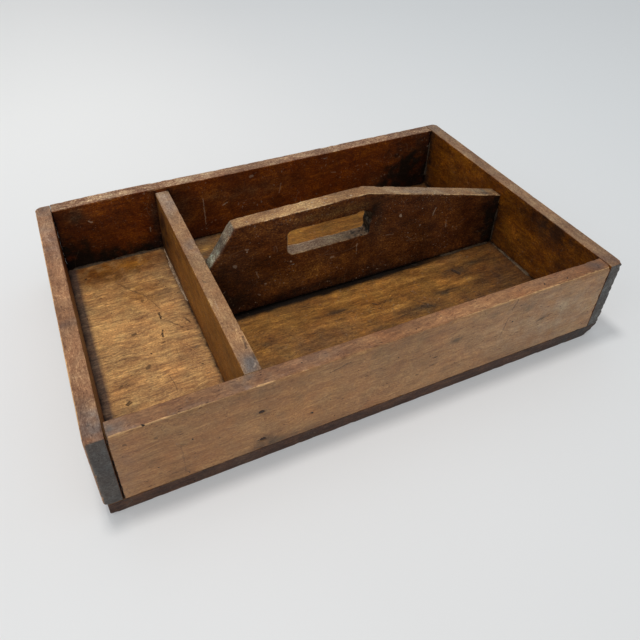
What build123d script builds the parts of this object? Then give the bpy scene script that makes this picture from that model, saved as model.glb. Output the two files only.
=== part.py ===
from build123d import *
import os

# Tool storage caddy: an open wooden tray of nailed boards with a cross divider and a carrying board.
# Millimetres. X runs along the tray, Y from front to back, Z up.
# The origin is at the middle of the footprint, on the surface that the tray stands on.

# Tray
tray_length = 460.0
tray_depth = 292.0
rim_height = 85.5
end_thickness = 14.0
side_thickness = 14.0
corner_radius = 3.0

# Base board, set in a little from the walls' outer faces
base_thickness = 13.0
base_inset_left = 2.5
base_inset_right = 0.5
base_inset_sides = 0.5
base_corner_radius = 5.0

# Cross divider, from the front board to the back board; its top falls towards the back
divider_x = -109.5
divider_thickness = 14.0
divider_front_height = 85.5
divider_back_height = 82.5

# Handle board, from the divider to the right end board
handle_y = 7.0
handle_thickness = 14.6
handle_floor_gap = 1.0
handle_housing_depth = 4.0
left_shoulder_x = -75.5
left_shoulder_height = 113.0
right_shoulder_x = 55.5
right_shoulder_height = 115.5
handle_left_height = 73.5
handle_right_height = 73.0

# Hand hole through the handle board
hole_x = 15.5
hole_height = 82.5
hole_length = 89.0
hole_width = 28.0
hole_corner_radius = 8.0

# Cut nails: rectangular heads, tapered shanks, driven a little below the surface
nail_length = 36.0
nail_sink = 0.6
head_long = 4.6
head_wide = 2.2
head_thickness = 1.2
shank_long = 3.6
shank_wide = 1.8
tip_long = 2.0
tip_wide = 1.2

# Nail places
wall_nail_heights = [26.0, 49.0, 72.0]
front_divider_nail_heights = [23.5, 56.0]
back_divider_nail_heights = [26.0, 58.0]
handle_nail_heights = [32.0, 56.0]
base_side_nail_count = 5
base_side_nail_pitch = 90.0
base_end_nail_count = 4
base_end_nail_pitch = 70.0
base_divider_nail_count = 4
base_divider_nail_pitch = 64.0

# Beads of old glue in the inside corners
bead_leg = 2.6
left_back_bead_start = -212.0
divider_bead_end_y = 38.0
handle_bead_start = 150.0
end_bead_end_y = -66.0
corner_bead_top = 56.0
back_corner_bead_bottom = 24.0
back_corner_bead_top = 70.0

# Derived places
end_x = tray_length / 2
side_y = tray_depth / 2
inner_end_x = end_x - end_thickness
inner_side_y = side_y - side_thickness
wall_nail_y = side_y - side_thickness / 2
end_nail_x = end_x - end_thickness / 2
divider_left_x = divider_x - divider_thickness / 2
divider_right_x = divider_x + divider_thickness / 2
handle_front_y = handle_y - handle_thickness / 2
handle_back_y = handle_y + handle_thickness / 2
handle_left_x = divider_right_x - handle_housing_depth
handle_bottom = base_thickness + handle_floor_gap

right = Vector(1, 0, 0)
left = Vector(-1, 0, 0)
back = Vector(0, 1, 0)
front = Vector(0, -1, 0)
up = Vector(0, 0, 1)


def block(low, high):
    """A box between two opposite corners."""
    size = Vector(*high) - Vector(*low)
    middle = (Vector(*low) + Vector(*high)) / 2
    return Pos(middle) * Box(size.X, size.Y, size.Z)


def spaced(count, pitch):
    """Places on both sides of zero, one pitch apart."""
    return [(i - (count - 1) / 2) * pitch for i in range(count)]


def cut_nail(surface_point, into, grain):
    """A cut nail driven into a surface, with the long side of its head along the grain."""
    place = Plane(origin=Vector(*surface_point) + into * nail_sink, x_dir=grain, z_dir=into)
    head = Pos(0, 0, head_thickness / 2) * Box(head_long, head_wide, head_thickness)
    shank_top = Pos(0, 0, head_thickness) * Rectangle(shank_long, shank_wide)
    shank_tip = Pos(0, 0, nail_length) * Rectangle(tip_long, tip_wide)
    shank = loft([shank_top.face(), shank_tip.face()], ruled=True)
    return place * (head + shank)


def sink_hole(surface_point, into, grain):
    """The small recess that a nail's head leaves between itself and the surface."""
    place = Plane(origin=Vector(*surface_point), x_dir=grain, z_dir=into)
    return place * Box(head_long, head_wide, 2 * nail_sink)


def nail_row(surface_points, into, grain):
    """The nails of one joint, and the recesses above their heads."""
    nails = [cut_nail(point, into, grain) for point in surface_points]
    recesses = [sink_hole(point, into, grain) for point in surface_points]
    return nails, recesses


def corner_bead(start, end, leg_a, leg_b):
    """A bead of glue with a triangular section, lying in an inside corner from start to end."""
    first = Vector(*start)
    run = Vector(*end) - first
    corners = [first, first + leg_a * bead_leg, first + leg_b * bead_leg]
    section = make_face(Polyline(*corners, close=True))
    return extrude(section, amount=run.length, dir=run.normalized())


def end_board(side):
    """A board across one end of the tray, covering the ends of the front and back boards."""
    low_x = min(side * inner_end_x, side * end_x)
    high_x = max(side * inner_end_x, side * end_x)
    board = block((low_x, -side_y, base_thickness), (high_x, side_y, rim_height))
    outer_corners = [e for e in board.edges().filter_by(Axis.Z) if abs(e.center().X) > inner_end_x + 1]
    return fillet(outer_corners, corner_radius)


def side_board(side):
    """The front or back board, between the two end boards."""
    low_y = min(side * inner_side_y, side * side_y)
    high_y = max(side * inner_side_y, side * side_y)
    return block((-inner_end_x, low_y, base_thickness), (inner_end_x, high_y, rim_height))


def base_board():
    """The board under all four walls."""
    y = side_y - base_inset_sides
    board = block((base_inset_left - end_x, -y, 0), (end_x - base_inset_right, y, base_thickness))
    return fillet(board.edges().filter_by(Axis.Z), base_corner_radius)


def cross_divider():
    """The divider, whose top falls a little towards the back."""
    corners = [
        (divider_left_x, -inner_side_y, base_thickness),
        (divider_left_x, inner_side_y, base_thickness),
        (divider_left_x, inner_side_y, divider_back_height),
        (divider_left_x, -inner_side_y, divider_front_height),
    ]
    return extrude(make_face(Polyline(*corners, close=True)), amount=divider_thickness, dir=right)


def handle_board():
    """The carrying board: a steep left slope, a long right slope, and a hand hole between them."""
    steepness = (left_shoulder_height - handle_left_height) / (left_shoulder_x - divider_right_x)
    foot_height = handle_left_height - steepness * handle_housing_depth
    corners = [
        (handle_left_x, handle_front_y, handle_bottom),
        (inner_end_x, handle_front_y, handle_bottom),
        (inner_end_x, handle_front_y, handle_right_height),
        (right_shoulder_x, handle_front_y, right_shoulder_height),
        (left_shoulder_x, handle_front_y, left_shoulder_height),
        (handle_left_x, handle_front_y, foot_height),
    ]
    board = extrude(make_face(Polyline(*corners, close=True)), amount=handle_thickness, dir=back)
    hole_plane = Plane(origin=(hole_x, handle_y, hole_height), x_dir=right, z_dir=front)
    hole_outline = RectangleRounded(hole_length, hole_width, hole_corner_radius)
    hole = extrude(hole_plane * hole_outline, amount=handle_thickness, both=True)
    return board - hole


def joint_nails():
    """Every nailed joint, as its node name with its nails and their recesses."""
    joints = {}
    for name, side, into in [("left_end", -1, right), ("right_end", 1, left)]:
        for wall, wall_side in [("front", -1), ("back", 1)]:
            points = [(side * end_x, wall_side * wall_nail_y, z) for z in wall_nail_heights]
            joints[f"{name}_to_{wall}_nails"] = nail_row(points, into, back)
    points = [(divider_x, -side_y, z) for z in front_divider_nail_heights]
    joints["front_to_divider_nails"] = nail_row(points, back, right)
    points = [(divider_x, side_y, z) for z in back_divider_nail_heights]
    joints["back_to_divider_nails"] = nail_row(points, front, right)
    points = [(end_x, handle_y, z) for z in handle_nail_heights]
    joints["right_end_to_handle_nails"] = nail_row(points, left, back)
    for wall, y in [("front", -wall_nail_y), ("back", wall_nail_y)]:
        points = [(x, y, 0) for x in spaced(base_side_nail_count, base_side_nail_pitch)]
        joints[f"base_to_{wall}_nails"] = nail_row(points, up, right)
    for name, x in [("left_end", -end_nail_x), ("right_end", end_nail_x)]:
        points = [(x, y, 0) for y in spaced(base_end_nail_count, base_end_nail_pitch)]
        joints[f"base_to_{name}_nails"] = nail_row(points, up, right)
    points = [(divider_x, y, 0) for y in spaced(base_divider_nail_count, base_divider_nail_pitch)]
    joints["base_to_divider_nails"] = nail_row(points, up, right)
    return joints


def glue_beads():
    """The glue left in the inside corners, one straight bead for each corner."""
    floor = base_thickness
    return {
        "left_back_glue": corner_bead(
            (left_back_bead_start, inner_side_y, floor), (divider_left_x, inner_side_y, floor), front, up),
        "left_divider_glue": corner_bead(
            (divider_left_x, inner_side_y - bead_leg, floor), (divider_left_x, divider_bead_end_y, floor),
            left, up),
        "handle_foot_glue": corner_bead(
            (handle_bead_start, handle_front_y, floor), (inner_end_x - bead_leg, handle_front_y, floor),
            front, up),
        "handle_corner_glue": corner_bead(
            (inner_end_x, handle_front_y, floor), (inner_end_x, handle_front_y, corner_bead_top),
            front, left),
        "right_end_glue": corner_bead(
            (inner_end_x, handle_front_y - bead_leg, floor), (inner_end_x, end_bead_end_y, floor),
            left, up),
        "back_corner_glue": corner_bead(
            (inner_end_x, inner_side_y, back_corner_bead_bottom),
            (inner_end_x, inner_side_y, back_corner_bead_top), front, left),
    }


def build():
    """Every node by name."""
    joints = joint_nails()
    cutters = [tool for nails, recesses in joints.values() for tool in nails + recesses]
    handle = handle_board()
    boards = {
        "front_board": side_board(-1),
        "back_board": side_board(1),
        "left_end_board": end_board(-1),
        "right_end_board": end_board(1),
        "base_board": base_board(),
        "cross_divider": cross_divider() - handle,
        "handle_board": handle,
    }
    nodes = {name: board - cutters for name, board in boards.items()}
    for name, (nails, recesses) in joints.items():
        nodes[name] = Compound(children=nails)
    nodes.update(glue_beads())
    return nodes


os.makedirs("parts", exist_ok=True)
for node_name, shape in build().items():
    export_step(shape, f"parts/{node_name}.step")
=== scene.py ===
import math

import bmesh
import bpy
import numpy as np
from mathutils import Euler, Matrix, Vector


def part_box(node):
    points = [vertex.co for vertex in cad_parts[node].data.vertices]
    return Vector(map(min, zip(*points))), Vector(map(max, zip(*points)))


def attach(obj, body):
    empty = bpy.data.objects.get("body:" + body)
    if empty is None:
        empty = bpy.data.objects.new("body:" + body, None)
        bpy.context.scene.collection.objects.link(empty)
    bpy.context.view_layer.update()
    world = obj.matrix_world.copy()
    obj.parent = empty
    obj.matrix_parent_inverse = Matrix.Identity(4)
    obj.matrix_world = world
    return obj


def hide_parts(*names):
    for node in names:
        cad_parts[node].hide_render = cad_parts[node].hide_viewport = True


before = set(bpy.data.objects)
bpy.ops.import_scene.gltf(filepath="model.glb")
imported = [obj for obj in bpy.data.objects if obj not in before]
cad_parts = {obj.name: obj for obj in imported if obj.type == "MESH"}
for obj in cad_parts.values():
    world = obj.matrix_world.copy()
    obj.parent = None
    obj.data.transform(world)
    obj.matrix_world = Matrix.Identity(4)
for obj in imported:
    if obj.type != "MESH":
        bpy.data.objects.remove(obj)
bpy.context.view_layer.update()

# Tool storage caddy: worn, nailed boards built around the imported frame.
# Shapes are worked out in millimetres and written to Blender in metres.

MM = 0.001


# ---- noise

LATTICE = 32
lattice_values = np.random.default_rng(7).random((LATTICE, LATTICE, LATTICE)).astype(np.float32)


def smooth_step(low, high, value):
    """0 below low, 1 above high, and a smooth ramp between."""
    t = np.clip((value - low) / (high - low), 0, 1)
    return t * t * (3 - 2 * t)


def value_noise(points, size, seed=0):
    """Smooth random values from 0 to 1; size is the feature's length, or one length per axis."""
    q = points / np.asarray(size, dtype=float) + np.array([0.37, 0.71, 0.13]) * (seed * 13.7 + 1)
    base = np.floor(q)
    t = (q - base).astype(np.float32)
    tx, ty, tz = (t * t * (3 - 2 * t)).T
    low = base.astype(np.int32) % LATTICE
    x0, y0, z0 = low.T
    x1, y1, z1 = ((low + 1) % LATTICE).T

    def row(y, z):
        start = lattice_values[x0, y, z]
        return start + tx * (lattice_values[x1, y, z] - start)

    near, far = row(y0, z0), row(y0, z1)
    near = near + ty * (row(y1, z0) - near)
    far = far + ty * (row(y1, z1) - far)
    return (near + tz * (far - near)).astype(float)


def layered_noise(points, size, seed=0, layers=3):
    """Noise with finer and fainter layers added, from about 0 to 1."""
    total = np.zeros(len(points))
    weight = 1.0
    weight_sum = 0.0
    for layer in range(layers):
        total += weight * value_noise(points, np.asarray(size, dtype=float) / 2 ** layer, seed + layer * 5)
        weight_sum += weight
        weight *= 0.5
    return total / weight_sum


# ---- meshes from fields

def ticks(low, high, coarse, spots=(), fine=0.45, rim=1.8, ramp=4.0, pad=1.2, spot_reach=2.8):
    """Grid places from low to high: fine near both ends and near the spots, coarse between."""
    step = 0.05
    places = np.arange(low - pad, high + pad, step)
    gap = np.minimum(places - low, high - places)
    for spot in spots:
        gap = np.minimum(gap, np.abs(places - spot) - spot_reach + rim)
    spacing = fine + (coarse - fine) * smooth_step(rim, rim + ramp, gap)
    count = np.concatenate([[0], np.cumsum(step / spacing[1:])])
    return np.interp(np.linspace(0, count[-1], math.ceil(count[-1]) + 1), count, places)


def grid_points(*axes):
    """Every point of a grid, in rows."""
    return np.stack(np.meshgrid(*axes, indexing="ij"), axis=-1).reshape(-1, len(axes))


def surface_net(field, xs, ys, zs):
    """Vertices and quads of the zero level of a field on a grid; the solid is where it is negative."""
    inside = field < 0
    shape = np.array(field.shape) - 1
    count = np.zeros(shape, dtype=np.int8)
    for corner in range(8):
        i, j, k = corner & 1, corner >> 1 & 1, corner >> 2 & 1
        count += inside[i:i + shape[0], j:j + shape[1], k:k + shape[2]]
    active = (count > 0) & (count < 8)
    cells = np.argwhere(active)
    index = np.full(active.shape, -1)
    index[active] = np.arange(len(cells))
    total = np.zeros((len(cells), 3))
    hits = np.zeros(len(cells))
    for axis in range(3):
        others = [a for a in range(3) if a != axis]
        for corner in range(4):
            start = cells.copy()
            start[:, others[0]] += corner & 1
            start[:, others[1]] += corner >> 1
            end = start.copy()
            end[:, axis] += 1
            f0 = field[tuple(start.T)]
            f1 = field[tuple(end.T)]
            cross = (f0 < 0) != (f1 < 0)
            t = np.where(cross, f0 / np.where(cross, f0 - f1, 1), 0)[:, None]
            p0 = np.stack([xs[start[:, 0]], ys[start[:, 1]], zs[start[:, 2]]], axis=1)
            p1 = np.stack([xs[end[:, 0]], ys[end[:, 1]], zs[end[:, 2]]], axis=1)
            total += np.where(cross[:, None], p0 + t * (p1 - p0), 0)
            hits += cross
    vertices = total / hits[:, None]
    quads = []
    for axis in range(3):
        a, b = (axis + 1) % 3, (axis + 2) % 3
        low = [slice(None)] * 3
        high = [slice(None)] * 3
        low[axis], high[axis] = slice(None, -1), slice(1, None)
        for other in (a, b):
            low[other] = high[other] = slice(1, -1)
        start_in, end_in = inside[tuple(low)], inside[tuple(high)]
        edges = np.argwhere(start_in != end_in)
        forward = start_in[tuple(edges.T)]
        edges[:, a] += 1
        edges[:, b] += 1
        ring = []
        for step_a, step_b in [(-1, -1), (0, -1), (0, 0), (-1, 0)]:
            cell = edges.copy()
            cell[:, a] += step_a
            cell[:, b] += step_b
            ring.append(index[tuple(cell.T)])
        ring = np.stack(ring, axis=1)
        ring[~forward] = ring[~forward][:, ::-1]
        quads.append(ring)
    return vertices, np.concatenate(quads)


def rounded(distances, radius):
    """Distance to a solid bounded by crossing faces, with its arrises rounded."""
    shifted = [d + radius for d in distances]
    outer = np.sqrt(sum(np.maximum(s, 0) ** 2 for s in shifted))
    inner = np.minimum(np.maximum.reduce(shifted), 0)
    return outer + inner - radius


def link_mesh(name, mesh, material):
    """A scene object that shows a mesh in one material."""
    mesh.materials.append(material)
    piece = bpy.data.objects.new(name, mesh)
    bpy.context.scene.collection.objects.link(piece)
    return piece


def mesh_object(name, vertices, faces, attributes, material):
    """A smooth-shaded mesh object from millimetre vertices, with colour attributes on its vertices."""
    mesh = bpy.data.meshes.new(name)
    faces = np.asarray(faces)
    mesh.vertices.add(len(vertices))
    mesh.vertices.foreach_set("co", (vertices * MM).astype(np.float32).ravel())
    mesh.loops.add(faces.size)
    mesh.loops.foreach_set("vertex_index", faces.astype(np.int32).ravel())
    mesh.polygons.add(len(faces))
    mesh.polygons.foreach_set("loop_start", np.arange(0, faces.size, faces.shape[1], dtype=np.int32))
    mesh.polygons.foreach_set("use_smooth", np.ones(len(faces), dtype=bool))
    mesh.update(calc_edges=True)
    mesh.validate()
    for key, values in attributes.items():
        layer = mesh.attributes.new(key, "FLOAT_COLOR", "POINT")
        rgba = np.ones((len(vertices), 4), dtype=np.float32)
        rgba[:, :3] = values
        layer.data.foreach_set("color", rgba.ravel())
    return link_mesh(name, mesh, material)


def vertex_normals(vertices, quads):
    """Unit normals at the vertices."""
    corners = vertices[quads]
    face = np.cross(corners[:, 2] - corners[:, 0], corners[:, 3] - corners[:, 1])
    normals = np.zeros_like(vertices)
    for i in range(4):
        np.add.at(normals, quads[:, i], face)
    return normals / np.maximum(np.linalg.norm(normals, axis=1, keepdims=True), 1e-9)


# ---- the frame's places, in millimetres

def node_box(node):
    """A CAD node's lowest and highest corners."""
    low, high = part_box(node)
    return np.array(low) / MM, np.array(high) / MM


front_low, front_high = node_box("front_board")
back_low, back_high = node_box("back_board")
left_low, left_high = node_box("left_end_board")
right_low, right_high = node_box("right_end_board")
base_low, base_high = node_box("base_board")
divider_low, divider_high = node_box("cross_divider")
handle_low, handle_high = node_box("handle_board")

floor_z = base_high[2]
rim_z = front_high[2]
inner_low = np.array([left_high[0], front_high[1], floor_z])
inner_high = np.array([right_low[0], back_low[1], rim_z])
divider_x = (divider_low[0] + divider_high[0]) / 2
divider_back_z = 82.5
handle_end_z = 73.0
handle_y = (handle_low[1] + handle_high[1]) / 2

# The three compartments, as their lowest and highest corners
compartments = [
    (inner_low, np.array([divider_low[0], inner_high[1], rim_z])),
    (np.array([divider_high[0], inner_low[1], floor_z]), np.array([inner_high[0], handle_low[1], rim_z])),
    (np.array([divider_high[0], handle_high[1], floor_z]), inner_high),
]


def in_space(axis, place, a, b):
    """A point or a size: its number on one axis, and its other two in their order."""
    point = [a, b]
    point.insert(axis, place)
    return point


def marks_on(axis, place, rows):
    """Straight marks in a plane: each row has two points of the plane, a width and a strength."""
    return [(in_space(axis, place, a, b), in_space(axis, place, c, d), width, strength)
            for a, b, c, d, width, strength in rows]


def corner_distances(points):
    """How far each point on an inner surface is from its nearest and next inside corners."""
    x, y, z = points.T
    nearest = np.full(len(points), 99.0)
    third = np.full(len(points), 99.0)
    for low, high in compartments:
        gaps = np.stack([x - low[0], high[0] - x, y - low[1], high[1] - y, z - low[2]], axis=1)
        within = (gaps > -2.5).all(axis=1) & (z < rim_z - 0.8)
        beside_handle = 3 if high[1] == handle_low[1] else 2
        if low[1] == handle_high[1] or high[1] == handle_low[1]:
            # The handle board is lower than the rim at its ends
            above = smooth_step(handle_end_z - 12, handle_end_z, z)
            gaps[:, beside_handle] += 90 * above
        ordered = np.sort(np.abs(gaps), axis=1)
        nearest = np.where(within, np.minimum(nearest, ordered[:, 1]), nearest)
        third = np.where(within, np.minimum(third, ordered[:, 2]), third)
    return nearest, third


# ---- materials

class Nodes:
    """Short calls for building a material's node tree.

    A value is a number, a colour or another node's output.
    """

    def __init__(self, name):
        self.material = bpy.data.materials.new(name)
        self.material.use_nodes = True
        self.tree = self.material.node_tree
        self.tree.nodes.clear()
        output = self.tree.nodes.new("ShaderNodeOutputMaterial")
        self.shader = self.tree.nodes.new("ShaderNodeBsdfPrincipled")
        self.feed(output.inputs["Surface"], self.shader.outputs[0])

    def feed(self, socket, value):
        if isinstance(value, bpy.types.NodeSocket):
            self.tree.links.new(value, socket)
        else:
            socket.default_value = value

    def shade(self, key, value):
        self.feed(self.shader.inputs[key], value)

    def node(self, kind, output, inputs, **settings):
        """One output of a new node with these inputs and settings."""
        node = self.tree.nodes.new("ShaderNode" + kind)
        for key, value in settings.items():
            setattr(node, key, value)
        for key, value in inputs.items():
            self.feed(node.inputs[key], value)
        return node.outputs[output]

    def math(self, operation, a, b=0.0, clamp=False):
        return self.node("Math", 0, {0: a, 1: b}, operation=operation, use_clamp=clamp)

    def add(self, a, b, clamp=False):
        return self.math("ADD", a, b, clamp)

    def times(self, a, b, clamp=False):
        return self.math("MULTIPLY", a, b, clamp)

    def centred(self, noise, amount):
        """Noise that swings about zero."""
        return self.times(self.math("SUBTRACT", noise, 0.5), amount)

    def vector(self, operation, a, b=(0, 0, 0)):
        output = "Value" if operation in ("LENGTH", "DOT_PRODUCT", "DISTANCE") else "Vector"
        return self.node("VectorMath", output, {0: a, 1: b}, operation=operation)

    def shift(self, vector, *offset):
        return self.vector("ADD", vector, offset)

    def position(self):
        """The place on the piece, in millimetres."""
        return self.vector("MULTIPLY", self.node("TexCoord", "Object", {}), (1 / MM,) * 3)

    def split(self, vector):
        return self.node("SeparateXYZ", 0, {0: vector}).node.outputs

    def join(self, x, y, z):
        return self.node("CombineXYZ", 0, {0: x, 1: y, 2: z})

    def noise(self, vector, scale=1.0, detail=2.0, roughness=0.5, distortion=0.0):
        return self.node("TexNoise", "Fac", {"Vector": vector, "Scale": scale, "Detail": detail,
                                             "Roughness": roughness, "Distortion": distortion})

    def ramp(self, value, low, high, out_low=0.0, out_high=1.0):
        """A smooth step between two values."""
        inputs = {"Value": value, "From Min": low, "From Max": high, "To Min": out_low, "To Max": out_high}
        return self.node("MapRange", 0, inputs, interpolation_type="SMOOTHSTEP")

    def mix(self, amount, a, b, blend="MIX"):
        return self.node("Mix", 2, {0: amount, 6: a, 7: b}, data_type="RGBA", blend_type=blend)

    def attribute(self, name):
        return self.node("Attribute", "Color", {}, attribute_name=name)

    def bump(self, height, distance, strength=1.0):
        return self.node("Bump", 0, {"Height": height, "Distance": distance * MM, "Strength": strength})

    def segment(self, p, start, end, width):
        """A soft mark along a straight line on the surface, in millimetres."""
        start, end = np.array(start, dtype=float), np.array(end, dtype=float)
        along = end - start
        offset = self.vector("SUBTRACT", p, tuple(start))
        reached = self.vector("DOT_PRODUCT", offset, tuple(along))
        t = self.math("DIVIDE", reached, float(along @ along), True)
        nearest = self.node("VectorMath", "Vector", {0: tuple(along), "Scale": t}, operation="SCALE")
        distance = self.vector("DISTANCE", offset, nearest)
        return self.ramp(distance, width * 0.5, width * 0.85, 1.0, 0.0)


# What settles on the wood, the painted corner shade, and what scratches it, linear
DIRT = (0.020, 0.013, 0.010, 1)
GRIME_AND_SHADE_FILTER = (0.10, 0.085, 0.09, 1)
DUST = (0.20, 0.17, 0.15, 1)
SPECK = (0.42, 0.33, 0.25, 1)
SCRATCH_LIFT = (2.1, 2.3, 2.6, 1)
SCRATCH = (0.50, 0.38, 0.27, 1)


def scratch_lines(n, p, seed):
    """Thin contour lines of noise stretched three ways, kept in patches."""
    lines = None
    for turn, stretch in enumerate([(0.012, 0.13, 0.05), (0.08, 0.014, 0.09), (0.05, 0.06, 0.013)]):
        shifted = n.shift(p, *[seed * 11 + turn * 91.0] * 3)
        field = n.noise(n.vector("MULTIPLY", shifted, stretch), detail=1.0, distortion=0.3)
        near = n.ramp(n.math("ABSOLUTE", n.math("SUBTRACT", field, 0.5)), 0.0, 0.0035, 1.0, 0.0)
        patches = n.ramp(n.noise(n.shift(p, *[turn * 57.0 + seed] * 3), scale=0.04), 0.56, 0.64)
        near = n.times(near, patches)
        lines = near if lines is None else n.math("MAXIMUM", lines, near)
    return lines


def wood(name, axis, seed, streak, patch, ring, pith, flecks, specks, grit, gloss, shine=0.2, ring_gap=2.4,
         scratches=0.2, cuts=0.0, sway=1.0, shorten=1.0, tint=0.5, top_extra=0.2, spread=(0.9, 1.05, 1.0),
         relief=1.0, bare_color=(0.58, 0.33, 0.14, 1), dark_marks=(), pale_marks=(), calm=None):
    """Old board: fibres along the grain, rings round a pith, flecks, scratches, wear, grime, painted
    corner shade and dust.

    The vertex colours say what age has done at each place, and where shade is painted: "tone" is the
    finish's colour there, darkened in places by painted shade, and the second attribute holds bare wood
    in red, grime and painted corner shade in green and dust in blue. A mark is a start, an end, a width
    and a strength. The face that calm names, by its axis and side, has its contrast multiplied by calm's
    last number.
    """
    n = Nodes(name)
    p = n.position()
    parts = n.split(n.shift(p, seed * 37.0, seed * 53.0, seed * 29.0))
    raw = n.split(p)
    cross = [i for i in range(3) if i != axis]

    # The grain sways from side to side
    bend = n.centred(n.noise(p, scale=0.022), 16.0 * sway)
    bend = n.add(bend, n.centred(n.noise(p, scale=0.085), 4.5 * sway))
    along = n.times(parts[axis], shorten)
    side, depth = n.add(parts[cross[0]], bend), n.add(parts[cross[1]], bend)

    def grained(along_scale, cross_scale, **kind):
        space = n.join(n.times(along, along_scale), n.times(side, cross_scale), n.times(depth, cross_scale))
        return n.noise(space, **kind)

    # Growth rings, wavy along the board
    wave = grained(0.007, 0.03, detail=3.0)
    small_wave = grained(0.035, 0.2, detail=1.0)
    off_side = n.add(n.math("SUBTRACT", raw[cross[0]], pith[0]), n.times(raw[axis], pith[2]))
    off_depth = n.math("SUBTRACT", raw[cross[1]], pith[1])
    radius = n.vector("LENGTH", n.join(off_side, off_depth, 0.0))
    radius = n.add(radius, n.times(wave, ring_gap * 7.0))
    radius = n.add(radius, n.times(small_wave, ring_gap * 1.2))
    phase = n.math("FRACT", n.math("DIVIDE", radius, ring_gap))
    late_wood = n.times(n.ramp(phase, 0.2, 0.85), n.ramp(phase, 0.9, 1.0, 1.0, 0.0))
    rings = n.times(late_wood, n.ramp(grained(0.012, 0.06), 0.38, 0.62))

    # Fibres, from broad bands to hair lines
    band = grained(0.022, 0.17, detail=5.0, roughness=0.62, distortion=0.5)
    fibre = grained(0.055, 0.62, detail=4.0, roughness=0.65, distortion=0.3)
    hair = grained(0.15, 1.9, detail=3.0, roughness=0.65)
    clouds = grained(0.034, 0.055, detail=6.0, roughness=0.66, distortion=0.6)
    grains = n.noise(p, scale=0.52, detail=4.0, roughness=0.72)
    salt = grained(0.42, 1.45, detail=3.0, roughness=0.7)
    pits = n.ramp(n.noise(n.shift(p, 31.0, 17.0, 5.0), scale=0.75, detail=1.0), 0.66, 0.76)
    dashes = n.ramp(grained(0.17, 1.1, detail=1.0), 0.66, 0.76)
    dashes = n.times(dashes, n.ramp(grained(0.02, 0.03), 0.40, 0.60))

    value = n.times(rings, -1.1 * ring)
    for layer, amount in [(band, 2.4 * streak), (fibre, 2.8 * streak), (hair, 1.6 * streak),
                          (clouds, 4.0 * patch), (grains, 2.6 * grit), (salt, 3.0 * grit)]:
        value = n.add(value, n.centred(layer, amount))
    for layer, amount in [(pits, -0.9 * grit), (dashes, -1.6 * flecks)]:
        value = n.add(value, n.times(layer, amount))
    # Upward faces weather by their own amount
    facing = n.split(n.node("NewGeometry", "Normal", {}))
    value = n.times(value, n.ramp(facing[2], 0.5, 0.9, 1.0, 1.0 + top_extra))
    if calm:
        outward = n.times(facing[calm[0]], calm[1])
        value = n.times(value, n.ramp(outward, 0.5, 0.9, 1.0, calm[2]))
    warmth = n.centred(n.noise(n.shift(p, 71.0, 23.0, 47.0), scale=0.055, detail=5.0, roughness=0.65), tint)
    gain = n.join(*[n.math("POWER", 2.0, n.add(n.times(value, share), n.times(warmth, lean)))
                    for share, lean in zip(spread, (0.9, -0.3, -1.1))])

    tone = n.attribute("tone")
    bare, grime, dust = n.split(n.attribute("age_and_shade"))
    color = n.mix(1.0, tone, gain, "MULTIPLY")

    # Bare wood where the arrises have worn
    ragged = n.noise(p, scale=0.45, detail=3.0, roughness=0.65)
    bare_mask = n.ramp(n.add(bare, n.times(ragged, 0.6)), 0.66, 0.90)
    bare_gain = n.math("POWER", 2.0, n.times(value, 0.7))
    bare_tone = n.mix(1.0, bare_color, n.join(bare_gain, bare_gain, bare_gain), "MULTIPLY")
    color = n.mix(n.times(bare_mask, 0.85), color, bare_tone)

    # Marks wander a little
    lines = scratch_lines(n, p, seed)
    wander = n.vector("SUBTRACT", n.noise(p, scale=0.35).node.outputs["Color"], (0.5, 0.5, 0.5))
    bent = n.vector("ADD", p, n.vector("MULTIPLY", wander, (2.6, 2.6, 2.6)))
    crumble = n.ramp(grains, 0.36, 0.56, 0.35, 1.0)
    pale = n.times(lines, scratches)
    for start, end, width, strength in pale_marks:
        pale = n.math("MAXIMUM", pale, n.times(n.segment(bent, start, end, width), strength))
    # Dents and cuts that have filled with dirt
    spots = n.noise(n.vector("MULTIPLY", p, (0.27, 0.30, 0.30)), detail=1.0, distortion=0.4)
    dark = n.math("MAXIMUM", n.times(n.ramp(spots, 0.76, 0.80), flecks, True), n.times(lines, cuts))
    for start, end, width, strength in dark_marks:
        mark = n.times(n.segment(bent, start, end, width), strength)
        dark = n.math("MAXIMUM", dark, n.times(mark, crumble))
    color = n.mix(dark, color, DIRT)

    # Grime and painted corner shade, mottled
    mottle = n.noise(p, scale=0.11, detail=5.0, roughness=0.65)
    grime_mask = n.times(grime, n.ramp(mottle, 0.25, 0.7, 0.55, 1.25), True)
    color = n.mix(grime_mask, color, n.mix(1.0, color, GRIME_AND_SHADE_FILTER, "MULTIPLY"))

    # Dust, pale scratches and pale specks
    powder = n.noise(p, scale=0.7, detail=4.0, roughness=0.7)
    dust_mask = n.times(dust, n.ramp(powder, 0.38, 0.66, 0.3, 1.1), True)
    color = n.mix(dust_mask, color, DUST)
    color = n.mix(pale, color, n.mix(0.75, n.mix(1.0, color, SCRATCH_LIFT, "MULTIPLY"), SCRATCH))
    speck = n.ramp(n.noise(p, scale=0.36, detail=0.0), 0.77, 0.81)
    speck = n.math("MAXIMUM", speck, n.ramp(n.noise(p, scale=0.85, detail=0.0), 0.76, 0.81, 0.0, 0.9))
    speck = n.times(speck, n.ramp(n.noise(p, scale=0.03, detail=1.0), 0.45, 0.6, 0.1, 1.0))
    # Fewer show where the finish is blackest
    speck = n.times(speck, n.ramp(n.split(tone)[0], 0.03, 0.10, 0.25, 1.0))
    color = n.mix(n.times(speck, specks), color, SPECK)
    n.shade("Base Color", color)

    rough = n.add(n.centred(mottle, 0.35), gloss)
    rough = n.add(rough, n.centred(fibre, 0.2))
    rough = n.add(rough, n.times(bare_mask, 0.14))
    rough = n.add(rough, n.times(n.math("MAXIMUM", dust_mask, grime_mask), 0.2), True)
    n.shade("Roughness", rough)
    n.shade("Specular IOR Level", shine)

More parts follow.
